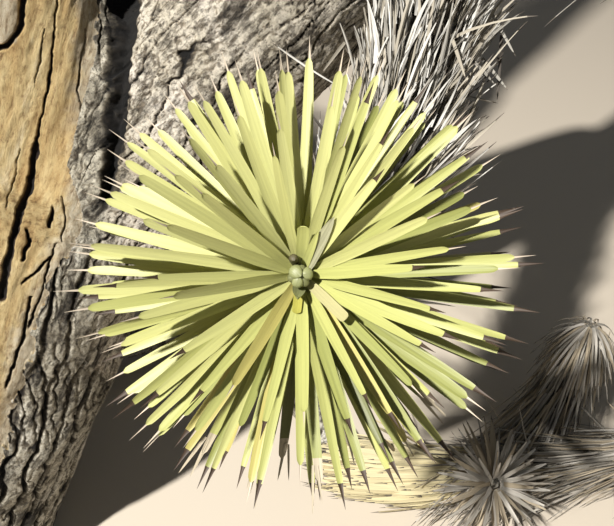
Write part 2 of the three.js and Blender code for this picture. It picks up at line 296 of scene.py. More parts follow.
# Stations along a live blade that ends in a thread: share of the length, breadth, thickness
BLADE = np.array([
    (0.00, 0.60, 1.0), (0.05, 0.70, 1.0), (0.13, 0.84, 0.9), (0.27, 1.00, 0.8), (0.43, 0.97, 0.75),
    (0.58, 0.90, 0.7), (0.70, 0.81, 0.7), (0.80, 0.71, 0.7), (0.865, 0.62, 0.7), (0.888, 0.53, 0.7),
    (0.898, 0.34, 0.7), (0.906, 0.16, 0.5), (0.935, 0.11, 0.35), (1.00, 0.01, 0.05),
])
# The same for a blade that narrows to a brown point
POINTED = np.array([
    (0.00, 0.60, 1.0), (0.05, 0.70, 1.0), (0.13, 0.84, 0.9), (0.27, 1.00, 0.8), (0.43, 0.95, 0.75),
    (0.58, 0.84, 0.7), (0.70, 0.73, 0.7), (0.80, 0.61, 0.7), (0.87, 0.50, 0.7), (0.895, 0.42, 0.7),
    (0.91, 0.30, 0.7), (0.95, 0.17, 0.6), (1.00, 0.01, 0.1),
])
# Kinds of end, and the station that each starts at
BROWN_END, THREAD_END, DRY_END = 0, 1, 2
BLADE_ENDS = (9, 11, 7)
PLAIN_BLADE = BLADE[[0, 2, 4, 6, 8, 10, 11, 13]]
PLAIN_ENDS = (5, 6, 4)
# A strip of dry leaf
STRIP = np.array([
    (0.00, 0.9, 1.0), (0.15, 1.05, 0.8), (0.40, 1.0, 0.7), (0.62, 0.84, 0.7), (0.80, 0.60, 0.7),
    (0.92, 0.33, 0.8), (1.00, 0.03, 0.2),
])
STRIP_END = (5,)
PLAIN_STRIP = STRIP[[0, 2, 3, 5, 6]]
PLAIN_STRIP_END = (3,)
NO_END = (99,)              # past any leaf's last station
# Sections across a leaf: breadth from -1 to 1, height in thicknesses, counted round
BROAD_SECTION = np.array([
    (-1.0, 0.0), (-0.55, -0.22), (0.0, -0.32), (0.55, -0.22), (1.0, 0.0), (0.55, -0.72), (0.0, -1.0),
    (-0.55, -0.72),
])
PLAIN_SECTION = np.array([(-1.0, 0.0), (0.0, -0.3), (1.0, 0.0), (0.0, -1.0)])
ROUND_TURNS = np.linspace(0.0, 2 * np.pi, 14, endpoint=False)
ROUND_SECTION = np.column_stack([-np.cos(ROUND_TURNS), 0.5 * np.sin(ROUND_TURNS) - 0.5])


def wall_quads(rings, sides):
    """Quads between each ring of a tube and the next."""
    ring = np.arange(sides)
    wall = np.stack([ring, (ring + 1) % sides, (ring + 1) % sides + sides, ring + sides], axis=1)
    return (wall[None] + np.arange(rings - 1)[:, None, None] * sides).reshape(-1, 4)


def leaf_quads(rings, sides):
    """Quads of one leaf, and the number of the station that each starts at."""
    fold = np.arange(sides // 2 - 1)
    cap = np.stack([fold, sides - 1 - fold, sides - 2 - fold, fold + 1], axis=1)
    far_cap = cap[:, ::-1] + (rings - 1) * sides
    ranks = [np.repeat(np.arange(rings - 1), sides), np.zeros(len(cap)), np.full(len(cap), rings - 1)]
    return np.concatenate([wall_quads(rings, sides), cap, far_cap]), np.concatenate(ranks)


def sweep(leaves, stations, section):
    """Vertices, quads, station of each quad and UVs for a batch of leaves of one outline."""
    count, rings, sides = len(leaves["root"]), len(stations), len(section)
    share = stations[:, 0]
    length = leaves["length"][:, None, None]
    face = leaves["face"]
    side = unit(np.cross(leaves["along"], face))
    bend = share ** 2
    place = (
        leaves["root"][:, None]
        + leaves["along"][:, None] * length * share[None, :, None]
        - face[:, None] * (leaves["droop"][:, None] * bend)[..., None] * length
        + side[:, None] * (leaves["sway"][:, None] * bend)[..., None] * length
    )
    angle = (leaves["roll"][:, None] + leaves["twist"][:, None] * share)[..., None]
    breadthwise = side[:, None] * np.cos(angle) + face[:, None] * np.sin(angle)
    raised = face[:, None] * np.cos(angle) - side[:, None] * np.sin(angle)
    half = (leaves["width"][:, None] * stations[:, 1] / 2)[..., None]
    thick = (leaves["thickness"][:, None] * stations[:, 2])[..., None]
    vertices = (
        place[:, :, None]
        + breadthwise[:, :, None] * (half * section[:, 0])[..., None]
        + raised[:, :, None] * (thick * section[:, 1])[..., None]
    ).reshape(-1, 3)
    one, rank = leaf_quads(rings, sides)
    quads = (one[None] + np.arange(count)[:, None, None] * rings * sides).reshape(-1, 4)
    u = section[:, 0][None, None] * half
    v = (length * share[None, :, None]) * np.ones_like(u)
    shift = np.arange(count)[:, None, None] * GRAIN_SHIFT
    uvs = np.stack([u + shift, v], axis=-1).reshape(-1, 2)
    return vertices, quads, np.tile(rank, count), uvs


def gather(batches):
    """Joins batches of leaves into one set of arrays."""
    return {key: np.concatenate([batch[key] for batch in batches]) for key in batches[0]}


def picked(leaves, kept):
    """The leaves that are kept."""
    return {key: values[kept] for key, values in leaves.items()}


def face_of(axis, along):
    return unit(axis - along * dot(axis, along))


def leaf_batch(axis, along, root, **values):
    """Arrays for a batch of leaves that face along the axis. Values left out are zero."""
    count = len(root)
    leaves = dict(root=root, along=along, face=face_of(axis, along))
    for key in LEAF_VALUES:
        leaves[key] = np.zeros(count) + values.get(key, 0.0)
    return leaves


# Growth of the leaves

# Lean in degrees from the axis of a head: that of the youngest leaf, what the oldest has more, and the power
ROSETTE_LEAN = (38, 66, 0.8)
LEAN_JITTER = 7
LENGTH_SHARES = (0.74, 0.26)        # share of the full length that the youngest leaf has, and what it gains
WIDTH_SHARES = (0.84, 0.16)
DRY_CHANCE = 0.34                   # share of the lowest leaves whose ends are dry
LIVE_THICKNESS = (0.0024, 0.0032)
DEAD_THICKNESS = (0.0014, 0.0022)
STEM_GAP = 0.009                    # from the axis of a head to the foot of a leaf, in metres
DEAD_STEM_GAP = 0.012
STRAY_LEAN = (100, 152)
LAST_TINT = 0.999
GROUND_GAP = 0.006
SHRED_LEANS = (-0.11, 0.10)         # of the two shreds of a split end


def across(axis, turn):
    """Directions square to an axis."""
    return spread(axis, np.full(len(axis), np.pi / 2), turn)


def between(ends, share):
    return ends[0] + (ends[1] - ends[0]) * share


def grown_to(shares, age):
    return shares[0] + shares[1] * smoothstep(0, 0.4, age)


def tip_of(course, count):
    """Place and direction of a course's tip, once for each leaf."""
    return course.point(np.ones(count)), np.tile(course.tangent(np.array([1.0])), (count, 1))


def rosette(course, count, seed, facing=None):
    """Live leaves in a spiral round the growing tip, the oldest bent back."""
    rng = np.random.default_rng(seed)
    tip, axis = tip_of(course, count)
    if facing:
        axis = np.tile(unit(np.array(facing, float)), (count, 1))
    i = np.arange(count)
    age = (i + 0.5) / count
    first, further, power = ROSETTE_LEAN
    polar = np.radians(first + further * age ** power + LEAN_JITTER * (rng.random(count) - 0.5))
    turn = i * GOLDEN_ANGLE + 0.2 * (rng.random(count) - 0.5)
    along = spread(axis, polar, turn)
    height = CROWN_LENGTH * MM * (0.72 - 0.5 * age)
    dry_chance = DRY_CHANCE * smoothstep(0.40, 0.70, -along[:, 2]) * smoothstep(0.2, 0.5, age)
    lean = along @ LIGHT_SIDE
    end = np.where(rng.random(count) < 0.5 - 0.45 * lean, BROWN_END, THREAD_END)
    return leaf_batch(
        axis, along,
        root=tip + axis * height[:, None] + across(axis, turn) * STEM_GAP,
        length=LEAF_LENGTH * MM * grown_to(LENGTH_SHARES, age) * rng.uniform(0.94, 1.02, count),
        width=LEAF_WIDTH * MM * grown_to(WIDTH_SHARES, age) * rng.uniform(0.86, 1.14, count),
        thickness=rng.uniform(*LIVE_THICKNESS, count),
        droop=rng.uniform(-0.02, 0.05, count),
        sway=rng.uniform(-0.03, 0.03, count),
        roll=rng.normal(0, 0.20, count),
        twist=rng.normal(0, 0.20, count),
        # Tint runs from pale to dark: paler towards LIGHT_SIDE and darker for the oldest, lowest leaves, as
        # painted light and shade, with a random share
        tint=np.clip(
            0.4 * rng.random(count) + 0.3 * (1 - lean) + 0.2 * smoothstep(0.7, 1, age), 0, LAST_TINT),
        end=np.where(rng.random(count) < dry_chance, DRY_END, end),
    )


def split_ends(leaves, seed):
    """Pale shreds where the ends of the dry leaves have split."""
    rng = np.random.default_rng(seed)
    dry = picked(leaves, leaves["end"] == DRY_END)
    count = len(dry["root"])
    side = np.cross(dry["along"], dry["face"])
    bend = dry["face"] * (dry["length"] * dry["droop"] * 0.7)[:, None]
    start = dry["along"] * (dry["length"] * 0.83)[:, None] - bend
    parts = []
    for lean in SHRED_LEANS:
        leaning = (lean * rng.uniform(0.5, 1.3, count))[:, None]
        parts.append(leaf_batch(
            dry["face"], unit(dry["along"] + side * leaning),
            root=dry["root"] + start + side * (lean * 0.016),
            length=rng.uniform(0.030, 0.048, count),
            width=rng.uniform(0.0020, 0.0034, count),
            thickness=0.0010,
            tint=rng.random(count),
        ))
    return gather(parts)


# Bud and cut leaves at the heart of the front rosette: turn and lean from its axis in degrees, then
# length, width, thickness and offset from the axis in millimetres, and the material's number
BUD_LEAVES = (
    (14, 4, 28, 12.5, 10.0, 0.2, 0), (78, 2, 26, 8.0, 8.5, 0.8, 1), (142, 1, 30, 14.0, 12.5, -1.4, 0),
    (196, 5, 26, 9.0, 8.5, 2.0, 1), (248, 3, 28, 11.5, 10.5, 0.2, 0), (302, 6, 25, 9.0, 9.0, 0.6, 1),
    (40, 1, 26, 9.0, 9.0, -4.0, 1), (112, 12, 28, 9.0, 7.5, 8.5, 2),
)
TORN_LEAVES = (
    (60, 40, 80, 13.0, 2.4, 7.0, 4), (68, 38, 58, 7.5, 2.2, 7.0, 3), (264, 14, 38, 12.0, 4.0, 10.0, 0),
)
CUT_LEAVES = (
    (86, 38, 58, 11.0, 2.6, 7.0, 3), (-43, 42, 70, 10.0, 2.2, 7.0, 5), (-96, 44, 38, 8.5, 2.6, 7.0, 6),
)
# Their outlines, as stations like those of a blade
BUD = np.array([
    (0.00, 0.90, 1.0), (0.50, 1.0, 1.0), (0.80, 1.0, 1.0), (0.92, 0.86, 0.95), (0.98, 0.60, 0.7),
    (1.00, 0.3, 0.4),
])
CUT = np.array([
    (0.00, 0.70, 1.0), (0.15, 0.86, 1.0), (0.45, 1.0, 1.0), (0.80, 1.0, 0.9), (0.965, 0.96, 0.9),
    (1.00, 0.66, 0.5),
])


def heart_leaves(course, facing, rows, height):
    """The short leaves of a table, round the growing tip."""
    turn, lean, length, width, thickness, offset, kind = (
        np.array(column, float) for column in zip(*rows))
    axis = np.tile(unit(np.array(facing, float)), (len(rows), 1))
    outward = across(axis, np.radians(turn))
    return leaf_batch(
        axis, spread(axis, np.radians(lean), np.radians(turn)),
        root=course.point(np.ones(len(rows))) + axis * height + outward * (offset * MM)[:, None],
        length=length * MM,
        width=width * MM,
        thickness=thickness * MM,
        tint=kind,
    )


def skirt(course, count, seed, reach=(24, 72), fold=(158, 174), first=0.05, strays=0.03, loose=1.0, wide=1.0,
          lengths=(0.75, 1.1), curl=0.0):
    """Dead leaves down an arm, folded back towards its foot, with a few that stray."""
    rng = np.random.default_rng(seed)
    i = np.arange(count)
    share = first + (1.0 - first) * (i + 0.5) / count
    axis = course.tangent(share)
    stray = rng.random(count) < strays
    polar = np.radians(np.where(stray, rng.uniform(*STRAY_LEAN, count), rng.uniform(*fold, count)))
    turn = i * GOLDEN_ANGLE + rng.uniform(-0.3, 0.3, count)
    layer = rng.random(count)
    return leaf_batch(
        axis, spread(axis, polar, turn),
        root=course.point(share) + across(axis, turn) * (between(reach, layer) * MM)[:, None],
        length=DEAD_LENGTH * MM * rng.uniform(*lengths, count),
        width=wide * DEAD_WIDTH * MM * rng.uniform(0.6, 1.4, count),
        thickness=rng.uniform(*DEAD_THICKNESS, count),
        droop=curl + loose * rng.uniform(-0.10, 0.08, count),
        sway=loose * rng.uniform(-0.10, 0.10, count),
        roll=loose * rng.normal(0, 0.6, count),
        twist=loose * rng.normal(0, 0.9, count),
        tint=np.clip(0.5 * layer + 0.5 * rng.random(count), 0, LAST_TINT),
    )


def dry_head(course, count, seed, lean, droop, length, wide=1.2):
    """Dry leaves that still stand round a dead head's tip. Ranges go from its youngest leaf to its oldest."""
    rng = np.random.default_rng(seed)
    i = np.arange(count)
    tip, axis = tip_of(course, count)
    age = (i + 0.5) / count
    polar = np.radians(between(lean, age) + rng.uniform(-6, 6, count))
    turn = i * GOLDEN_ANGLE
    return leaf_batch(
        axis, spread(axis, polar, turn),
        root=tip + axis * (0.012 - 0.05 * age)[:, None] + across(axis, turn) * DEAD_STEM_GAP,
        length=between(length, age) * MM * rng.uniform(0.85, 1.1, count),
        width=wide * DEAD_WIDTH * MM * rng.uniform(0.8, 1.2, count),
        thickness=rng.uniform(*DEAD_THICKNESS, count),
        droop=between(droop, age) * rng.uniform(0.8, 1.2, count),
        sway=rng.uniform(-0.07, 0.07, count),
        roll=rng.normal(0, 0.3, count),
        twist=rng.normal(0, 0.5, count),
        tint=np.clip(0.35 + 0.65 * rng.random(count), 0, LAST_TINT),
    )


def from_pixel(u, v, depth):
    """The place in metres that a photograph pixel shows at a depth."""
    right = (u - PHOTO_WIDTH / 2) / FOCAL_PIXELS * depth
    down = (v - PHOTO_HEIGHT / 2) / FOCAL_PIXELS * depth
    cosine, sine = math.cos(CAMERA_PITCH), math.sin(CAMERA_PITCH)
    return CAMERA_PLACE + np.array((right, depth * cosine - down * sine, -depth * sine - down * cosine))


# Loose leaves at the edge of the front skirt: pixel and depth of the foot and of the tip, width in
# millimetres, and tint
STRAYS = (
    (502, 28, 0.98, 498, 103, 0.96, 4.6, 0.05), (492, 14, 0.98, 516, 56, 0.94, 4.2, 0.40),
    (482, 58, 0.97, 508, 90, 0.93, 4.4, 0.42), (503, 52, 0.97, 478, 84, 0.93, 4.0, 0.15),
    (452, 38, 0.90, 466, 79, 0.86, 4.4, 0.60), (470, 58, 0.94, 497, 83, 0.90, 4.2, 0.45),
    (345, 42, 0.98, 321, 73, 0.94, 4.2, 0.60), (455, 128, 0.86, 471, 101, 0.84, 4.0, 0.2),
)


def stray_leaves(rows, seed):
    """Leaves laid from place to place."""
    rng = np.random.default_rng(seed)
    foot = np.array([from_pixel(*row[0:3]) for row in rows])
    tip = np.array([from_pixel(*row[3:6]) for row in rows])
    along = unit(tip - foot)
    toward = np.tile(unit(CAMERA_PLACE - foot.mean(axis=0)), (len(rows), 1))
    return leaf_batch(
        toward, along,
        root=foot,
        length=np.linalg.norm(tip - foot, axis=1),
        width=np.array([row[6] for row in rows]) * MM,
        thickness=0.0016,
        sway=rng.uniform(-0.05, 0.05, len(rows)),
        roll=rng.normal(0, 0.3, len(rows)),
        tint=np.array([row[7] for row in rows]),
    )


def above_ground(leaves):
    """Leaves whose root and tip stay off the ground."""
    reach = leaves["along"] - leaves["face"] * leaves["droop"][:, None]
    tip = leaves["root"] + reach * leaves["length"][:, None]
    kept = (tip[:, 2] > GROUND_GAP) & (leaves["root"][:, 2] > GROUND_GAP)
    return picked(leaves, kept)


# Materials

LEAF_GRAIN = (420, 7, 1)    # how fine the streaks are across a leaf and along it
LEAF_RIDGE = 0.0008         # height of the ridges in metres
# Tones of the bark and the wood: place on the ramp, then the colour on a screen
DUSKY_BARK = ((0.32, 128, 121, 106), (0.45, 186, 179, 161), (0.57, 220, 214, 197), (0.70, 242, 238, 226))
PALE_BARK = ((0.30, 186, 176, 156), (0.45, 212, 203, 184), (0.58, 228, 219, 203), (0.72, 238, 229, 217))
TAN_WOOD = ((0.30, 186, 152, 100), (0.44, 212, 184, 129), (0.58, 228, 206, 154), (0.74, 236, 224, 192))
GREY_WOOD = ((0.34, 170, 155, 128), (0.62, 222, 211, 186))
# Painted shade: colours that darken the bark and the wood where less light reaches, in cracks, at flake edges
# and in the crevice
BARK_PAINTED_SHADE = ((0.0, 18, 15, 13), (0.35, 76, 68, 59), (0.7, 214, 208, 200))
WOOD_PAINTED_SHADE = ((0.0, 26, 19, 16), (0.45, 84, 64, 48))
# Scale and reach of the noise that tears the bark's flecks out of shape
TORN_FLECKS = ((28, 0.030), (110, 0.010), (330, 0.0036))


def linear(red, green, blue):
    """A colour as it looks under the key light, given as 0 to 255 on a screen, in linear light."""
    channels = [c / 255 for c in (red, green, blue)]
    levels = [c / 12.92 if c <= 0.04045 else ((c + 0.055) / 1.055) ** 2.4 for c in channels]
    return tuple(REFLECTANCE * level for level in levels) + (1.0,)


def tones(*rows):
    """Stops of a ramp from rows of a place and a screen colour."""
    return [(place, linear(*colour)) for place, *colour in rows]


def greys(*rows):
    """Stops of a ramp from rows of a place and a level."""
    return [(place, (level, level, level, 1.0)) for place, level in rows]


class Shading:
    """A material and the nodes that colour it."""

    def __init__(self, name, roughness):
        self.material = bpy.data.materials.new(name)
        self.material.use_nodes = True
        self.shader = self.material.node_tree.nodes["Principled BSDF"]
        self.shader.inputs["Roughness"].default_value = roughness

    def new(self, kind):
        return self.material.node_tree.nodes.new(kind)

    def fed(self, node, inputs):
        """A node with its inputs set to values or to other nodes' outputs."""
        for key, value in inputs.items():
            if isinstance(value, bpy.types.NodeSocket):
                self.material.node_tree.links.new(value, node.inputs[key])
            else:
                node.inputs[key].default_value = value
        return node

    def add(self, kind, inputs):
        return self.fed(self.new(kind), inputs)

    def coloured(self, colour):
        self.fed(self.shader, {"Base Color": colour})

    def stored(self, name):
        node = self.new("ShaderNodeAttribute")
        node.attribute_name = name
        return node

    def ramp(self, factor, stops):
        node = self.add("ShaderNodeValToRGB", {"Fac": factor})
        while len(node.color_ramp.elements) < len(stops):
            node.color_ramp.elements.new(0.5)
        for element, (position, colour) in zip(node.color_ramp.elements, stops):
            element.position = position
            element.color = colour
        return node.outputs["Color"]

    def stretched(self, place, scale):
        return self.add("ShaderNodeMapping", {"Vector": place, "Scale": scale}).outputs["Vector"]

    def noise(self, place, scale, detail, roughness=0.6, distortion=0.0):
        settings = {"Scale": scale, "Detail": detail, "Roughness": roughness, "Distortion": distortion}
        return self.add("ShaderNodeTexNoise", {"Vector": place, **settings}).outputs["Fac"]

    def mixed(self, share, first, second, blend="MIX"):
        node = self.new("ShaderNodeMix")
        node.data_type = "RGBA"
        node.blend_type = blend
        return self.fed(node, {"Factor": share, "A": first, "B": second}).outputs["Result"]

    def multiplied(self, first, *others):
        """Layers of colour multiplied together."""
        for layer in others:
            first = self.mixed(1.0, first, layer, "MULTIPLY")
        return first

    def bumped(self, *layers):
        """Bumps stacked on the shader: height, strength, distance."""
        last = {}
        for height, strength, distance in layers:
            own = {"Height": height, "Strength": strength, "Distance": distance}
            last = {"Normal": self.add("ShaderNodeBump", {**own, **last}).outputs["Normal"]}
        self.fed(self.shader, last)

    def dark_strokes(self, place, scale, level):
        """0 in ragged dark strokes that run along the grain, and 1 between them."""
        strokes = self.noise(place, scale, 8.0, 0.68)
        return self.ramp(strokes, greys((level - 0.05, 0), (level, 0.45), (level + 0.05, 1)))

    def jagged(self, place, layers):
        """Places pushed about by noise: scale and reach of each layer."""
        for scale, reach in layers:
            push = self.add("ShaderNodeTexNoise", {"Vector": place, "Scale": scale, "Detail": 3.0})
            node = self.new("ShaderNodeVectorMath")
            node.operation = "MULTIPLY_ADD"
            inputs = {0: push.outputs["Color"], 1: (reach, reach, reach), 2: place}
            place = self.fed(node, inputs).outputs[0]
        return place


def leaf_material(name, colour, roughness, streak, ridge):
    """A leaf of one plain colour with fine streaks and ridges that run along it."""
    leaf = Shading(name, roughness)
    node = leaf.new("ShaderNodeUVMap")
    node.uv_map = "UVMap"
    grain = leaf.noise(leaf.stretched(node.outputs["UV"], LEAF_GRAIN), 1.0, 3.0)
    dark = tuple(c * (1 - streak) for c in linear(*colour)[:3]) + (1.0,)
    pale = tuple(min(1, c * (1 + streak)) for c in linear(*colour)[:3]) + (1.0,)
    leaf.coloured(leaf.ramp(grain, [(0.3, dark), (0.7, pale)]))
    leaf.bumped((grain, ridge, LEAF_RIDGE))
    return leaf.material


def bark_material():
    """Rough corky bark, pale on its plates and dark in its cracks; painted shade darkens its colour in the
    cracks, at the flakes' edges and in the crevice.
    """
    bark = Shading("bark", 0.95)
    solid = bark.new("ShaderNodeTexCoord").outputs["Object"]
    relief = bark.stored("relief").outputs["Fac"]
    grained = bark.stored("grained").outputs["Vector"]
    torn = bark.jagged(solid, TORN_FLECKS)
    patches = bark.noise(solid, 14.0, 9.0, 0.66)
    grit = bark.noise(solid, 210.0, 7.0, 0.8)
    broad = bark.dark_strokes(grained, 30.0, 0.42)
    fine = bark.dark_strokes(bark.stretched(grained, (1, 1, 1.6)), 78.0, 0.42)
    flecks = bark.add("ShaderNodeTexVoronoi", {"Vector": torn, "Scale": 210.0}).outputs["Color"]
    dusky, pale = (bark.ramp(patches, tones(*rows)) for rows in (DUSKY_BARK, PALE_BARK))
    tone = bark.mixed(bark.stored("paleness").outputs["Fac"], dusky, pale)
    # Painted shade in the cracks, at the flakes' edges and in the crevice
    painted_shade = bark.ramp(relief, tones(*BARK_PAINTED_SHADE) + greys((0.92, 1)))
    dark = [
        bark.ramp(stroke, [(0.0, (low, 0.9 * low, 0.8 * low, 1)), *greys((1.0, 1))])
        for stroke, low in ((broad, 0.12), (fine, 0.30))
    ]
    speckle = bark.ramp(grit, greys((0.38, 0.26), (0.46, 0.74), (0.54, 1)))
    chips = bark.ramp(flecks, greys((0.1, 0.78), (0.6, 1)))
    bark.coloured(bark.multiplied(tone, painted_shade, *dark, speckle, chips))
    bark.bumped((broad, 0.6, 0.004), (fine, 0.8, 0.003), (flecks, 0.6, 0.0015), (grit, 0.8, 0.0025))
    return bark.material


def wood_material():
    """Bare tan wood with a streaky grain along the limb, and painted shade in its cracks."""
    wood = Shading("bare_wood", 0.85)
    place = wood.stored("grained").outputs["Vector"]
    relief = wood.stored("relief").outputs["Fac"]
    lengthwise = wood.stretched(place, (1, 1, 0.5))
    grain = wood.noise(lengthwise, 150.0, 9.0, 0.75, 0.4)
    broad = wood.noise(lengthwise, 26.0, 5.0, 0.62)
    pits = wood.noise(wood.stretched(place, (1, 1, 1.6)), 150.0, 8.0, 0.8)
    tan, weathered = (wood.ramp(broad, tones(*rows)) for rows in (TAN_WOOD, GREY_WOOD))
    tone = wood.mixed(wood.stored("paleness").outputs["Fac"], tan, weathered)
    streaks = wood.ramp(grain, [
        (0.33, (0.42, 0.34, 0.27, 1)), (0.43, (0.86, 0.82, 0.76, 1)), *greys((0.52, 1)),
    ])
    pitting = wood.ramp(pits, [
        (0.36, (0.42, 0.35, 0.29, 1)), (0.45, (0.86, 0.82, 0.78, 1)), *greys((0.55, 1)),
    ])
    # Painted shade in the cracks
    painted_shade = wood.ramp(relief, tones(*WOOD_PAINTED_SHADE) + greys((0.8, 1)))
    wood.coloured(wood.multiplied(tone, streaks, pitting, painted_shade))
    wood.bumped((broad, 0.6, 0.014), (grain, 0.9, 0.006), (pits, 0.9, 0.005))
    return wood.material


# Bark mesh

def tube_rings(course, radius_at):
    """Rings of a tube with rounded ends along a course. radius_at(share, centre, angle) is in metres."""
    shares = np.linspace(0, 1, TUBE_STEPS + 1)
    angle = np.arange(TUBE_SIDES) * 2 * np.pi / TUBE_SIDES
    centres, tangents = course.point(shares), course.tangent(shares)
    cosine, sine = np.cos(angle)[:, None], np.sin(angle)[:, None]
    rounds = [cosine * n + sine * b for n, b in zip(course.normal(shares), course.binormal(shares))]
    rings = []
    for share, centre, around in zip(shares, centres, rounds):
        rings.append(centre + radius_at(share, centre, angle)[:, None] * around)
    tip = radius_at(1.0, centres[-1], angle)[:, None]
    for bow, shrink in ROUND_TIP:
        rings.append(centres[-1] + tangents[-1] * tip * bow + rounds[-1] * tip * shrink)
    return np.array(rings)


def tube_mesh(name, tubes):
    """One mesh of closed tubes, each given as its rings."""
    vertices, faces = [], []
    for rings in tubes:
        count, sides = rings.shape[:2]
        wall = len(vertices) + wall_quads(count, sides)
        vertices += rings.reshape(-1, 3).tolist()
        faces += [*wall.tolist(), wall[:sides, 0][::-1].tolist(), wall[-sides:, 3].tolist()]
    mesh = bpy.data.meshes.new(name)
    mesh.from_pydata(vertices, [], faces)
    return mesh


def flattened(angle, turn, depth):
    """Radius of a section of radius 1 that is flattened on the side at a turn in degrees."""
    aside = np.abs(np.sin(angle - math.radians(turn)))
    ahead = np.cos(angle - math.radians(turn))
    ahead = np.where(ahead > 0, ahead / depth, -ahead)
    return (aside ** FLAT_POWER + ahead ** FLAT_POWER) ** (-1 / FLAT_POWER)


def gnarl(share, angle, seed):
    """Slow unevenness round and along a limb, from -1 to 1."""
    return 0.5 * np.sin(3 * angle + 7 * share + seed) + 0.5 * np.sin(5 * angle - 19 * share + 2 * seed)


def limb_radius(name, limb):
    """Radius of a limb in metres, with the trunk's flare, its flat side and a slight unevenness."""
    foot, tip, *flat = limb[3:]

    def radius_at(share, centre, angle):
        radius = np.full(len(angle), between((foot, tip), share) * MM)
        if name == "trunk":
            rise = math.exp(-max(centre[2], 0) / (FLARE_HEIGHT * MM))
            radius = radius * (1 + FLARE * rise * (1 + 0.3 * np.cos(FLARE_LOBES * angle)))
        if flat:
            radius = radius * flattened(angle, *flat)
        return radius * (1 + GNARL * gnarl(share, angle, len(name)))

    return radius_at


def stem_radius(radii):
    """Radius of an arm's stem in metres, from its radii at the foot and at the tip."""

    def radius_at(share, centre, angle):
        return np.full(len(angle), between(radii, share) * MM)

    return radius_at


def fused_limbs(courses, radii):
    """One closed skin round all the limbs and the stems of the arms."""
    rings = [tube_rings(courses[name], radii[name]) for name in courses]
    source = linked("limbs_source", tube_mesh("limbs_source", rings))
    remesh = source.modifiers.new("fuse", "REMESH")
    remesh.mode = "VOXEL"
    remesh.voxel_size = VOXEL
    smooth = source.modifiers.new("soften", "SMOOTH")
    smooth.iterations, smooth.factor = SOFTENING
    graph = bpy.context.evaluated_depsgraph_get()
    mesh = bpy.data.meshes.new_from_object(source.evaluated_get(graph))
    bpy.data.objects.remove(source)
    return mesh


def vertex_array(mesh, name="co"):
    return filled(mesh.vertices, name, len(mesh.vertices) * 3).reshape(-1, 3).astype(float)


def to_pixels(places):
    """Photograph pixels and depth of places in metres."""
    relative = places - CAMERA_PLACE
    depth = relative[:, 1] * math.cos(CAMERA_PITCH) - relative[:, 2] * math.sin(CAMERA_PITCH)
    down = -relative[:, 1] * math.sin(CAMERA_PITCH) - relative[:, 2] * math.cos(CAMERA_PITCH)
    ahead = np.maximum(depth, NEAREST_DEPTH)
    u = PHOTO_WIDTH / 2 + FOCAL_PIXELS * relative[:, 0] / ahead
    v = PHOTO_HEIGHT / 2 + FOCAL_PIXELS * down / ahead
    return u, v, depth


def in_view(places, normals, margin):
    """Which places the camera sees from the front, within its frame and a margin."""
    u, v, depth = to_pixels(places)
    seen = (u > -margin) & (u < PHOTO_WIDTH + margin) & (v > -margin) & (v < PHOTO_HEIGHT + margin)
    return seen & (depth > 0) & (((CAMERA_PLACE - places) * normals).sum(axis=1) > GRAZING)


def open_bark(margin):
    """A rule for the places of bark in view that no dead leaves hide."""
    right_of, below = HIDDEN_BARK

    def chosen(places, normals):
        hidden = (places[:, 0] > right_of) & (places[:, 2] < below)
        return in_view(places, normals, margin) & ~hidden

    return chosen


def near_detail(places, normals):
    """Which places lie by a crack or the edge of the bare wood."""
    u, v, _ = to_pixels(places)
    gaps = [line_distance(u, v, line)[0] for line in (*CRACKS, WOOD_EDGE)]
    return (np.min(gaps, axis=0) < DETAIL_REACH) & in_view(places, normals, 5)


def split_edges(mesh, chosen):
    """Splits the edges between the chosen places in half."""
    mask = chosen(vertex_array(mesh), vertex_array(mesh, "normal"))
    with edited(mesh) as work:
        edges = [e for e in work.edges if mask[e.verts[0].index] and mask[e.verts[1].index]]
        bmesh.ops.subdivide_edges(work, edges=edges, cuts=1, use_grid_fill=True, smooth=0.0)


# Outline of the bare wood on the left stem and trunk, in pixels of the photograph
BARE_WOOD = (
    (150, -420), (118, -200), (104, -60), (97, 0), (95, 60), (88, 110), (85, 150), (80, 230), (50, 290),
    (30, 350), (10, 430), (-20, 520), (-60, 560), (-75, 430), (-40, 330), (-20, 250), (-16, 150),
    (-60, 60), (-70, -60), (-40, -200), (30, -300), (70, -400),
)
WOOD_EDGE = [(u, v, 0) for u, v in BARE_WOOD[:12]]      # its right edge
DETAIL_REACH = 10           # how far from a crack or that edge the skin is finer, in pixels
# Corner of the grey flap of wood at the top left of the photograph, in its pixels
FLAP = (18, 46)
# Cracks in the bare wood: pixels of the photograph and half the width there
CRACKS = (
    ((62, -60, 0.8), (59, 0, 0.9), (52, 60, 1.2), (48, 90, 1.8), (41, 118, 1.2), (34, 148, 1.8),
     (29, 178, 3.0), (21, 205, 3.4), (12, 240, 3.8), (0, 300, 4.5)),
    ((26, 226, 1.5), (30, 240, 2.0), (22, 260, 2.2)),
    ((36, 140, 1.2), (36, 155, 1.6), (33, 165, 1.0)),
    ((18, -60, 3.0), (22, 0, 3.0), (20, 26, 3.0), (4, 48, 2.4), (-20, 54, 2.4)),
    ((52, 205, 1.2), (51, 214, 2.4), (50, 224, 1.6)),
    ((50, 258, 1.4), (36, 272, 1.8), (22, 286, 1.2)),
    ((88, 30, 0.7), (80, 80, 1.0), (78, 120, 0.6)),
    ((44, 30, 0.6), (40, 62, 0.8), (33, 84, 0.5)),
    ((56, 240, 0.9), (50, 262, 1.4), (42, 292, 1.0), (28, 330, 1.6)),
    ((60, 196, 0.7), (66, 216, 1.0), (62, 240, 0.8)),
    ((18, 150, 0.6), (12, 180, 0.9), (6, 205, 0.6)),
    ((30, 300, 1.4), (22, 340, 1.8), (6, 390, 1.4)),
)
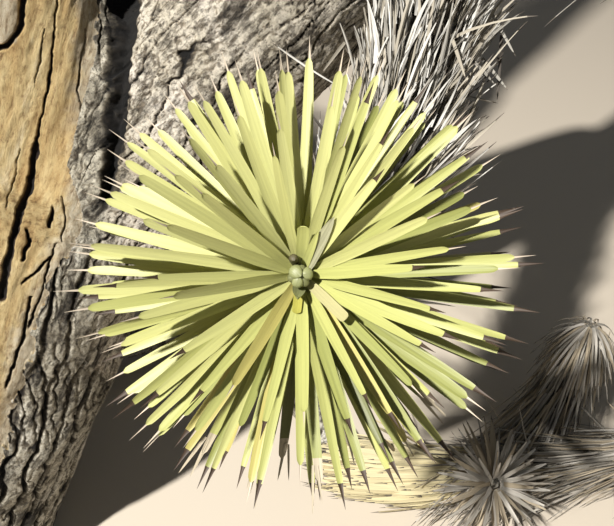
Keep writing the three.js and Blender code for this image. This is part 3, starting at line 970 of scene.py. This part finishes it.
# Crevice between the left stem and the right limb, like the cracks; it is sunk, and painted shade darkens its
# colour
CREVICE = (
    (124, -80, 20), (122, 0, 18), (120, 40, 17), (117, 80, 15), (116, 110, 14), (113, 140, 13),
    (109, 170, 10), (103, 200, 6),
)
CREVICE_DEPTH = 0.024


# Bark's height and painted shade

# Layers of noise that push the pattern of the bark about: scale, shift, seed and reach
WARP = ((17, 31, 5, 0.010), (60, 17, 15, 0.0036), (170, 13, 25, 0.0012))
# Layers of strength, scale and seed
CRUMBS = ((1.0, 120, 81), (0.7, 260, 82))
RAGGED_EDGE = ((4.5, 45, 41), (3, 140, 43))
WANDERING_CRACKS = ((1.6, 70, 61), (0.8, 190, 62))
WOOD_GRAIN = ((0.6, 170, 51), (1.0, 60, 52))
FLAKE_STEPS = 2.6           # how many flakes lie over each other
LIMB_SPACING = 3.0          # metres between the patterns of two limbs
LIMB_MARGIN = 2.2           # how far round a limb its pattern may be read, in radii
BLEND = 0.15                # width of the zone where two limbs' patterns blend, in radii
WOOD_SINK = 0.005           # how far the bare wood lies below the bark, in metres
WOOD_RELIEF = 0.0026
CRACK_DEPTH = 0.011
GROUND_FADE = 0.02          # height above the ground at which the relief is whole
# how much painted shade darkens the crevice's colour
CREVICE_SHADE = 0.96
CREVICE_SIDES = (0.3, 1.2)  # where the crevice's sides start and end, in half widths
CREVICE_MARGIN = 60
SPLIT_MARGINS = (40, 15)    # how far past the frame the skin is split once, and split again, in pixels
WEATHERING = (6, 28)        # pixels from the wood's edge between which it turns from grey to tan
PALE_LIMB = (121, 0.08)     # column where the right limb's pale bark starts, and its shift left a row


def inside(u, v, outline):
    """Whether pixels lie in a closed outline."""
    result = np.zeros(len(u), bool)
    corners = list(outline)
    for (u0, v0), (u1, v1) in zip(corners, corners[1:] + corners[:1]):
        if v0 != v1:
            result ^= ((v0 > v) != (v1 > v)) & (u < (u1 - u0) * (v - v0) / (v1 - v0) + u0)
    return result


def line_distance(u, v, line):
    """Distance to a line of pixels, and the line's half width at the nearest place on it."""
    best = np.full(len(u), 1e9)
    breadth = np.zeros(len(u))
    for (u0, v0, w0), (u1, v1, w1) in zip(line, line[1:]):
        length = (u1 - u0) ** 2 + (v1 - v0) ** 2
        t = np.clip(((u - u0) * (u1 - u0) + (v - v0) * (v1 - v0)) / length, 0, 1)
        gap = np.hypot(u - u0 - t * (u1 - u0), v - v0 - t * (v1 - v0))
        breadth = np.where(gap < best, w0 + (w1 - w0) * t, breadth)
        best = np.minimum(best, gap)
    return best, breadth


def layered(places, layers):
    """Noise added up from layers of strength, scale and seed."""
    return sum(strength * soft_noise(places * scale, seed) for strength, scale, seed in layers)


def opened(swing, width, cell, seed, low, high):
    """Depth, from 0 to 1, of cracks that lie where swing is near 0 and come and go along their run."""
    share = 0.3 + 0.7 * smoothstep(low, high, soft_noise(0.7 * cell + 3, seed))
    return (1 - smoothstep(0.2 * width, width, swing)) * share


def fissures(cell, seed, width):
    """How deep each place lies in long fine cracks that wander."""
    swing = np.abs(soft_noise(cell, seed) + 0.5 * soft_noise(2.3 * cell + 7, seed + 1))
    return opened(swing, width, cell, seed + 2, -0.6, 0.0)


def furrows(place, cell, size, seed, width):
    """How deep each place lies in open cracks that run along the limb."""
    around = np.arctan2(place[:, 1], place[:, 0]) * np.hypot(place[:, 0], place[:, 1]) / size
    phase = around + 0.8 * soft_noise(0.6 * cell, seed) + 0.16 * soft_noise(2.1 * cell + 7, seed + 1)
    return opened(2 * np.abs(phase - np.round(phase)), width, cell, seed + 2, -0.5, 0.1)


def flakes(cell, seed):
    """Height of flat flakes that lie over each other, and how near each place is to a flake's edge."""
    level = soft_noise(cell, seed) + 0.45 * soft_noise(2.1 * cell + 5, seed + 1)
    level = FLAKE_STEPS * (level + 0.2 * soft_noise(4.7 * cell + 9, seed + 2))
    whole = np.floor(level)
    step = smoothstep(0.78, 1.0, level - whole)
    return (whole + step) / FLAKE_STEPS, 4 * step * (1 - step)


def plate_relief(place, size, stretch, openness, lumps):
    """Height of the bark in plate depths, about 0 on a plate, and how open it is, from 0 in a crack to 1,
    which darkens the colour as painted shade.
    """
    warp = 0
    for scale, shift, seed, reach in WARP:
        push = [soft_noise(place * scale + k * shift, seed + k) for k in range(3)]
        warp = warp + np.stack(push, axis=1) * reach
    cell = (place + warp) / (size * np.array((1, 1, stretch)))
    deep = furrows(place + warp, cell, size, 3, openness)
    fine = fissures(2.4 * cell + 11, 33, 0.4 * openness + 0.06)
    level, edge = flakes(1.3 * cell, 63)
    crumbs = layered(place, CRUMBS)
    height = lumps * level - deep * (0.2 + 4.0 * openness) - 0.8 * lumps * fine + 0.08 * crumbs
    # Cracks and flake edges get less light: painted shade in the colour
    light_share = 1 - np.clip(deep + 0.5 * fine + 0.4 * edge, 0, 1)
    return height, light_share


def grain_places(places, axis):
    """Places across the grain and, drawn together, along it."""
    axis = unit(np.array(axis))
    side = unit(np.cross(axis, (0, 0, 1)))
    return np.stack([places @ side, places @ np.cross(side, axis), places @ axis * GRAIN_STRETCH], axis=1)


def limb_readings(places, courses, radii):
    """For each limb and place: distance in radii, and the place read across and along the limb."""
    probe = np.array([0.0])
    ratios = np.full((len(courses), len(places)), 1e3)
    coordinates = np.zeros((len(courses), len(places), 3))
    for number, (name, course) in enumerate(courses.items()):
        ends = [radii[name](s, course.point(np.array([s]))[0], probe)[0] for s in (0.0, 1.0)]
        margin = LIMB_MARGIN * max(ends)
        low, high = course.points.min(axis=0) - margin, course.points.max(axis=0) + margin
        near = np.flatnonzero(((places > low) & (places < high)).all(axis=1))
        share, offset, distance = course.nearest(places[near])
        a = (offset * course.normal(share)).sum(axis=1)
        b = (offset * course.binormal(share)).sum(axis=1)
        along = share * course.length + (offset * course.tangent(share)).sum(axis=1)
        coordinates[number, near] = np.stack([a, b, along + number * LIMB_SPACING], axis=1)
        ratios[number, near] = distance / between(ends, share)
    return ratios, coordinates


def limb_places(places, courses, radii):
    """For each place: height of the bark there, its light share under the painted shade of cracks, and the
    number of the nearest limb.
    """
    ratios, coordinates = limb_readings(places, courses, radii)
    lowest = ratios.min(axis=0)
    height, light_share, weight = np.zeros((3, len(places)))
    for number, name in enumerate(courses):
        near = np.flatnonzero(ratios[number] < lowest + BLEND)
        if not len(near):
            continue
        share = np.clip(1 - (ratios[number][near] - lowest[near]) / BLEND, 0, 1)
        part = plate_relief(coordinates[number][near], *PLATES.get(name, BOUGH_PLATES))
        height[near] += share * part[0]
        light_share[near] += share * part[1]
        weight[near] += share
    return height / weight, light_share / weight, ratios.argmin(axis=0)


def crack_depth(u, v, places):
    """How deep each pixel lies in a crack of the wood, from 0 to 1."""
    depth = np.zeros(len(u))
    wander = layered(places, WANDERING_CRACKS)
    for line in CRACKS:
        gap, breadth = line_distance(u + wander, v + 0.6 * wander, line)
        narrowness = 1 - smoothstep(0.5, 1.5, gap / np.maximum(breadth, 0.3))
        depth = np.maximum(depth, narrowness * np.clip(breadth / 1.8, 0.5, 1))
    return depth


def on_limbs(best, courses, wanted):
    """Which places have one of the wanted limbs as their nearest."""
    return np.isin(best, [list(courses).index(name) for name in wanted])


def store(mesh, kind="FLOAT", key="value", **attributes):
    """Stores arrays with a mesh's vertices."""
    for name, values in attributes.items():
        fill(mesh.attributes.new(name, kind, "POINT").data, key, values)


def paleness(u, v, ragged, bare, on_limb):
    """How pale a place is: weathered wood by its edge and on the flap, and bark on the right limb."""
    edge_gap = line_distance(u, v, WOOD_EDGE)[0] + 1.5 * ragged
    flap = smoothstep(0, 3, FLAP[0] - u) * smoothstep(0, 4, FLAP[1] - v)
    right_of_crevice = smoothstep(-4, 8, u - PALE_LIMB[0] + PALE_LIMB[1] * v)
    weathered = np.maximum(1 - smoothstep(*WEATHERING, edge_gap), flap)
    return np.where(bare, weathered, on_limb * right_of_crevice)


def add_relief(mesh, courses, radii):
    """Raises the bark and sinks the bare wood, and stores what the materials and the cutting up read, among
    them the painted shade of the cracks and the crevice.
    """
    places, normals = vertex_array(mesh), vertex_array(mesh, "normal")
    height, light_share, best = limb_places(places, courses, radii)
    u, v, ahead = to_pixels(places)
    ragged = layered(places, RAGGED_EDGE)
    woody = on_limbs(best, courses, WOODY_LIMBS) & (ahead > 0)
    woody &= ((CAMERA_PLACE - places) * normals).sum(axis=1) > 0
    bare = inside(u + ragged, v + ragged, BARE_WOOD) & woody
    groove = crack_depth(u, v, places) * woody
    gap, breadth = line_distance(u + ragged, v, CREVICE)
    crevice = (1 - smoothstep(*CREVICE_SIDES, gap / breadth)) * in_view(places, normals, CREVICE_MARGIN)
    crevice = crevice * on_limbs(best, courses, BIG_LIMBS)
    on_limb = on_limbs(best, courses, ["right_limb"])
    grained = np.where(
        on_limb[:, None], grain_places(places, LIMB_GRAIN), grain_places(places, STEM_GRAIN))
    depths = [PLATE_DEPTH if n in BIG_LIMBS else BOUGH_DEPTH if n in LIMBS else STEM_DEPTH for n in courses]
    wood_rise = -WOOD_SINK + WOOD_RELIEF * layered(grained, WOOD_GRAIN) - CRACK_DEPTH * groove
    rise = np.where(bare, wood_rise, height * np.array(depths)[best])
    rise = rise - CREVICE_DEPTH * crevice ** 2 * ~bare
    pale = paleness(u, v, ragged, bare, on_limb)
    # Painted shade: the wood's cracks, and the bark's cracks, flake edges and crevice, darken the colour
    open_to_light = np.where(bare, 1 - groove, light_share * (1 - CREVICE_SHADE * crevice))
    store(mesh, relief=open_to_light, paleness=pale, limb_number=best, bare=bare)
    store(mesh, "FLOAT_VECTOR", "vector", grained=grained)
    places += normals * (rise * smoothstep(0.0, GROUND_FADE, places[:, 2]))[:, None]
    fill(mesh.vertices, "co", places)


def shaped_bark(courses, radii):
    """The whole skin with its relief and materials."""
    mesh = fused_limbs(courses, radii)
    for chosen in (*map(open_bark, SPLIT_MARGINS), near_detail):
        split_edges(mesh, chosen)
    add_relief(mesh, courses, radii)
    cut_at_ground(mesh)
    mesh.materials.clear()
    mesh.materials.append(bark_material())
    mesh.materials.append(wood_material())
    fill(mesh.polygons, "material_index", face_values(mesh, "bare"), np.int32)
    mesh.shade_smooth()
    return mesh


def cut_at_ground(mesh):
    with edited(mesh) as work:
        everything = work.verts[:] + work.edges[:] + work.faces[:]
        cut = bmesh.ops.bisect_plane(
            work, geom=everything, plane_co=(0, 0, CUT_HEIGHT), plane_no=(0, 0, 1), clear_inner=True)
        rim = [edge for edge in cut["geom_cut"] if isinstance(edge, bmesh.types.BMEdge)]
        bmesh.ops.holes_fill(work, edges=rim, sides=0)


def face_values(mesh, name):
    """A vertex attribute read at the first corner of each face."""
    values = filled(mesh.attributes[name].data, "value", len(mesh.vertices))
    corners = filled(mesh.loops, "vertex_index", len(mesh.loops), np.int32)
    starts = filled(mesh.polygons, "loop_start", len(mesh.polygons), np.int32)
    return values[corners[starts]]


def part_of(mesh, name, kept):
    """A copy of the mesh with the kept faces only."""
    part = mesh.copy()
    part.name = name
    with edited(part) as work:
        lost = [face for face, keep in zip(work.faces, kept) if not keep]
        bmesh.ops.delete(work, geom=lost, context="FACES")
    return linked(name, part)


def build_bark(courses):
    """The skin of all the limbs, cut into pieces."""
    radii = {name: limb_radius(name, limb) for name, limb in LIMBS.items()}
    radii.update({name: stem_radius(STEM_RADII) for name in ARMS})
    radii.update({name: stem_radius(DEAD_STEM_RADII) for name in DEAD_ARMS})
    mesh = shaped_bark(courses, radii)
    owner = face_values(mesh, "limb_number").astype(int)
    boughs = [name for name in LIMBS if name.endswith("bough")]
    dead = ["dead_limb", "dead_limb_end"]
    groups = {f"bark_{name}": ([name], [name]) for name in BIG_LIMBS}
    groups["bark_boughs"] = (boughs + list(ARMS), boughs)
    groups["bark_dead_limb"] = (dead + list(DEAD_ARMS), dead)
    for name, (members, nodes) in groups.items():
        finish_piece(part_of(mesh, name, on_limbs(owner, courses, members)), nodes)
    bpy.data.meshes.remove(mesh)


# Leaves

# Share of the leaves, name, colour on a screen, roughness, and how strong the streaks and ridges are
# The live tints run from pale to dark; their darker end, the darkest tint most of all, is painted shade
# between the leaves
LIVE_TINTS = (
    (0.22, "blade_bright", (212, 212, 142), 0.5, 0.10, 0.5),
    (0.22, "blade_pale", (200, 200, 130), 0.5, 0.10, 0.5),
    (0.20, "blade_green", (184, 186, 113), 0.5, 0.12, 0.5),
    (0.05, "blade_gold", (190, 180, 106), 0.5, 0.12, 0.5),
    (0.19, "blade_olive", (150, 154, 86), 0.5, 0.14, 0.5),
    (0.12, "blade_painted_shade", (106, 110, 56), 0.5, 0.14, 0.5),
)
DRY_ENDS = ((1, "dry_end", (192, 180, 156), 0.75, 0.25, 0.6),)
SPINES = (
    (1, "spine", (70, 54, 40), 0.6, 0.3, 0.4),
    (1, "spine_thread", (206, 192, 172), 0.7, 0.2, 0.4),
)
HEART_TINTS = (
    (1, "bud", (146, 150, 104), 0.5, 0.15, 0.5),
    (1, "bud_inner", (114, 116, 76), 0.5, 0.15, 0.5),
    (1, "bud_dark", (86, 80, 54), 0.6, 0.2, 0.5),
    (1, "cut_leaf", (204, 206, 130), 0.5, 0.12, 0.5),
    (1, "cut_silver", (184, 182, 150), 0.7, 0.3, 0.7),
    (1, "cut_pale", (182, 176, 128), 0.6, 0.12, 0.5),
    (1, "cut_yellow", (180, 175, 84), 0.5, 0.12, 0.5),
)
GREY_TINTS = (
    (0.26, "dry_dark", (76, 70, 63), 0.85, 0.3, 0.6),
    (0.26, "dry_grey", (160, 156, 147), 0.85, 0.3, 0.6),
    (0.14, "dry_tan", (178, 170, 154), 0.8, 0.25, 0.6),
    (0.34, "dry_silver", (216, 213, 206), 0.8, 0.25, 0.6),
)
STRAW_TINTS = (
    (0.08, "straw_dark", (156, 138, 102), 0.85, 0.25, 0.6),
    (0.34, "straw", (212, 196, 152), 0.8, 0.2, 0.6),
    (0.58, "straw_pale", (228, 215, 172), 0.8, 0.15, 0.6),
)
ASH_TINTS = (
    (0.22, "ash_dark", (108, 102, 94), 0.85, 0.3, 0.6),
    (0.36, "ash", (160, 154, 143), 0.85, 0.3, 0.6),
    (0.18, "ash_tan", (186, 172, 148), 0.8, 0.25, 0.6),
    (0.24, "ash_pale", (204, 198, 187), 0.8, 0.25, 0.6),
)
DRY_TIPS = ((1, "dry_tip", (108, 100, 90), 0.8, 0.3, 0.4),)
# Angle in degrees past which an edge of a leaf is shaded sharp
LIVE_CREASE = 35
HEART_CREASE = 50
DEAD_CREASE = 40
# Outline, section, and the station that each kind of end starts at
BROAD = (BLADE, BROAD_SECTION, BLADE_ENDS)
NARROW = (POINTED, BROAD_SECTION, BLADE_ENDS)
PLAIN = (PLAIN_BLADE, PLAIN_SECTION, PLAIN_ENDS)
SHRED = (STRIP, PLAIN_SECTION, NO_END)
DRY_STRIP = (STRIP, PLAIN_SECTION, STRIP_END)
PLAIN_DRY_STRIP = (PLAIN_STRIP, PLAIN_SECTION, PLAIN_STRIP_END)
# Tables of the heart's leaves, with their form and their height above the arm's tip in metres
HEART = {
    "front_bud": (BUD_LEAVES, (BUD, ROUND_SECTION, NO_END), 0.040),
    "front_cut_leaves": (CUT_LEAVES, (CUT, BROAD_SECTION, NO_END), 0.043),
    "front_torn_leaves": (TORN_LEAVES, (STRIP, BROAD_SECTION, NO_END), 0.044),
}


def tinted(rows):
    """Share and material for each row of a table of tints."""
    return [(share, leaf_material(*row)) for share, *row in rows]


def tint_slots(leaves, tints):
    """Number of the material that each leaf's tint falls to."""
    shares = np.cumsum([share for share, _ in tints])
    return np.minimum(np.searchsorted(shares / shares[-1], leaves["tint"]), len(tints) - 1)


def end_slots(rank, end, starts):
    """Number of the end's material where a face lies in the leaf's end, and -1 elsewhere."""
    return np.where(rank >= np.array(starts)[end.astype(int)], end, -1)


def finish_piece(piece, nodes, sharp=None):
    if sharp:
        piece.data.set_sharp_from_angle(angle=math.radians(sharp))
    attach(piece, "root")
    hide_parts(*nodes)


def leaf_piece(name, leaves, form, tints, ends, slot, nodes, sharp):
    """One joined mesh of leaves. A leaf's tint picks its material, and its end has others."""
    outline, section, starts = form
    vertices, quads, rank, uvs = sweep(leaves, outline, section)
    per_leaf = len(rank) // len(leaves["root"])
    own = np.repeat(tint_slots(leaves, tints), per_leaf)
    last = end_slots(rank, np.repeat(leaves["end"], per_leaf), starts)
    slots = np.where(last >= 0, len(tints) + last, own)
    piece = quads_object(name, vertices, quads, [m for _, m in tints + ends], slots, uvs)
    finish_piece(piece, nodes, sharp)


def build_live_leaves(courses):
    tints, dry = tinted(LIVE_TINTS), tinted(DRY_ENDS)
    ends = tinted(SPINES) + dry
    live = ("live_leaf", ["rosette_front"], LIVE_CREASE)
    head = courses["front"]
    front = rosette(head, 176, 11, FRONT_FACING)
    brown = front["end"] == BROWN_END
    leaf_piece("front_rosette", picked(front, ~brown), BROAD, tints, ends, *live)
    leaf_piece("front_pointed", picked(front, brown), NARROW, tints, ends, *live)
    leaf_piece("front_shreds", split_ends(front, 12), SHRED, dry, [], *live)
    heart = tinted(HEART_TINTS)
    for name, (rows, form, height) in HEART.items():
        leaves = heart_leaves(head, FRONT_FACING, rows, height)
        leaves["tint"] = (leaves["tint"] + 0.5) / len(heart)
        leaf_piece(name, leaves, form, heart, [], "live_leaf", ["rosette_front"], HEART_CREASE)
    others = [name for name in ARMS if name != "front"]
    rest = gather([rosette(courses[name], 96, 20 + k) for k, name in enumerate(others)])
    nodes = [f"rosette_{name}" for name in others]
    leaf_piece("rosettes", rest, PLAIN, tints, ends, "live_leaf", nodes, LIVE_CREASE)


def build_dead_leaves(courses):
    grey, straw, ash, tip = (tinted(rows) for rows in (GREY_TINTS, STRAW_TINTS, ASH_TINTS, DRY_TIPS))
    leaves = gather([
        skirt(courses["front"], 2000, 51, reach=(24, 66), strays=0.008, loose=2.4, lengths=(0.30, 0.85)),
        stray_leaves(STRAYS, 52),
    ])
    leaf_piece("front_skirt", leaves, DRY_STRIP, grey, tip, "dead_leaf", ["skirt_front"], DEAD_CREASE)
    others = [name for name in ARMS if name != "front"]
    for side, names in (("left", others[:7]), ("right", others[7:])):
        leaves = gather([skirt(courses[name], 330, 60 + others.index(name)) for name in names])
        nodes = [f"skirt_{name}" for name in names]
        leaf_piece(f"{side}_skirts", leaves, PLAIN_DRY_STRIP, grey, tip, "dead_leaf", nodes, DEAD_CREASE)
    leaves = above_ground(skirt(
        courses["dead_skirt"], 1350, 81, reach=(10, 48), fold=(166, 177), strays=0.01, first=0.40, loose=0.5,
        wide=1.9, lengths=(0.6, 1.05), curl=0.13))
    leaf_piece("low_skirt", leaves, DRY_STRIP, straw, tip, "dead_leaf", ["dead_skirt"], DEAD_CREASE)
    heads = ["dead_head_fore", "dead_head_rear", "dead_head_out"]
    fore, rear, out = (courses[name] for name in heads)
    low = dict(reach=(16, 44), fold=(164, 176), strays=0.015)
    leaves = above_ground(gather([
        skirt(rear, 520, 82, **low),
        skirt(out, 560, 83, **low),
        dry_head(fore, 100, 85, (28, 118), (0.05, 0.30), (84, 116), wide=1.9),
        dry_head(rear, 300, 86, (128, 172), (0.35, 0.05), (120, 175)),
        dry_head(rear, 80, 88, (84, 135), (0.9, 0.4), (55, 120)),
        dry_head(out, 120, 87, (30, 140), (0.1, 0.3), (120, 170)),
    ]))
    leaf_piece("low_heads", leaves, DRY_STRIP, ash, tip, "dead_leaf", heads, DEAD_CREASE)


# Stage

FLOOR_SIZE = 14
FLOOR_PLACE = (0.5, 0, -0.002)
FLOOR_COLOUR = (224, 212, 194)
# Place, target, size, power and colour of the lights
KEY_LIGHT = ((-1.73, -2.65, 5.58), (0.75, -0.05, 0.9), 0.22, 850, (1.0, 0.97, 0.92))
FILL_LIGHT = ((2.6, -3.4, 3.6), (0.7, -0.1, 0.8), 3.0, 7, (1.0, 0.98, 0.95))
WORLD_COLOUR = (0.86, 0.92, 1.0, 1.0)
WORLD_STRENGTH = 0.10


def build_floor():
    bpy.ops.mesh.primitive_plane_add(size=FLOOR_SIZE, location=FLOOR_PLACE)
    floor = bpy.context.object
    floor.name = "floor"
    plain = Shading("floor", 0.9)
    plain.coloured(linear(*FLOOR_COLOUR))
    floor.data.materials.append(plain.material)


def add_light(name, place, target, size, power, colour):
    data = bpy.data.lights.new(name, "AREA")
    data.shape = "DISK"
    data.size = size
    data.energy = power
    data.color = colour
    light = linked(name, data)
    light.location = place
    light.rotation_euler = (Vector(target) - Vector(place)).to_track_quat("-Z", "Y").to_euler()


def build_lights():
    add_light("key", *KEY_LIGHT)
    add_light("fill", *FILL_LIGHT)
    world = bpy.data.worlds.new("studio")
    world.use_nodes = True
    background = world.node_tree.nodes["Background"]
    background.inputs["Color"].default_value = WORLD_COLOUR
    background.inputs["Strength"].default_value = WORLD_STRENGTH
    bpy.context.scene.world = world


def build_camera():
    data = bpy.data.cameras.new("camera")
    data.sensor_width = SENSOR_MM
    data.lens = SENSOR_MM * FOCAL_PIXELS / PHOTO_WIDTH
    camera = linked("camera", data)
    camera.location = CAMERA_PLACE
    camera.rotation_euler = (math.pi / 2 - CAMERA_PITCH, 0, 0)
    bpy.context.scene.camera = camera
    bpy.context.scene.view_settings.view_transform = "Standard"


courses = {name: Course(limb) for name, limb in {**LIMBS, **ARMS, **DEAD_ARMS}.items()}
build_camera()
build_lights()
build_floor()
build_bark(courses)
build_live_leaves(courses)
build_dead_leaves(courses)
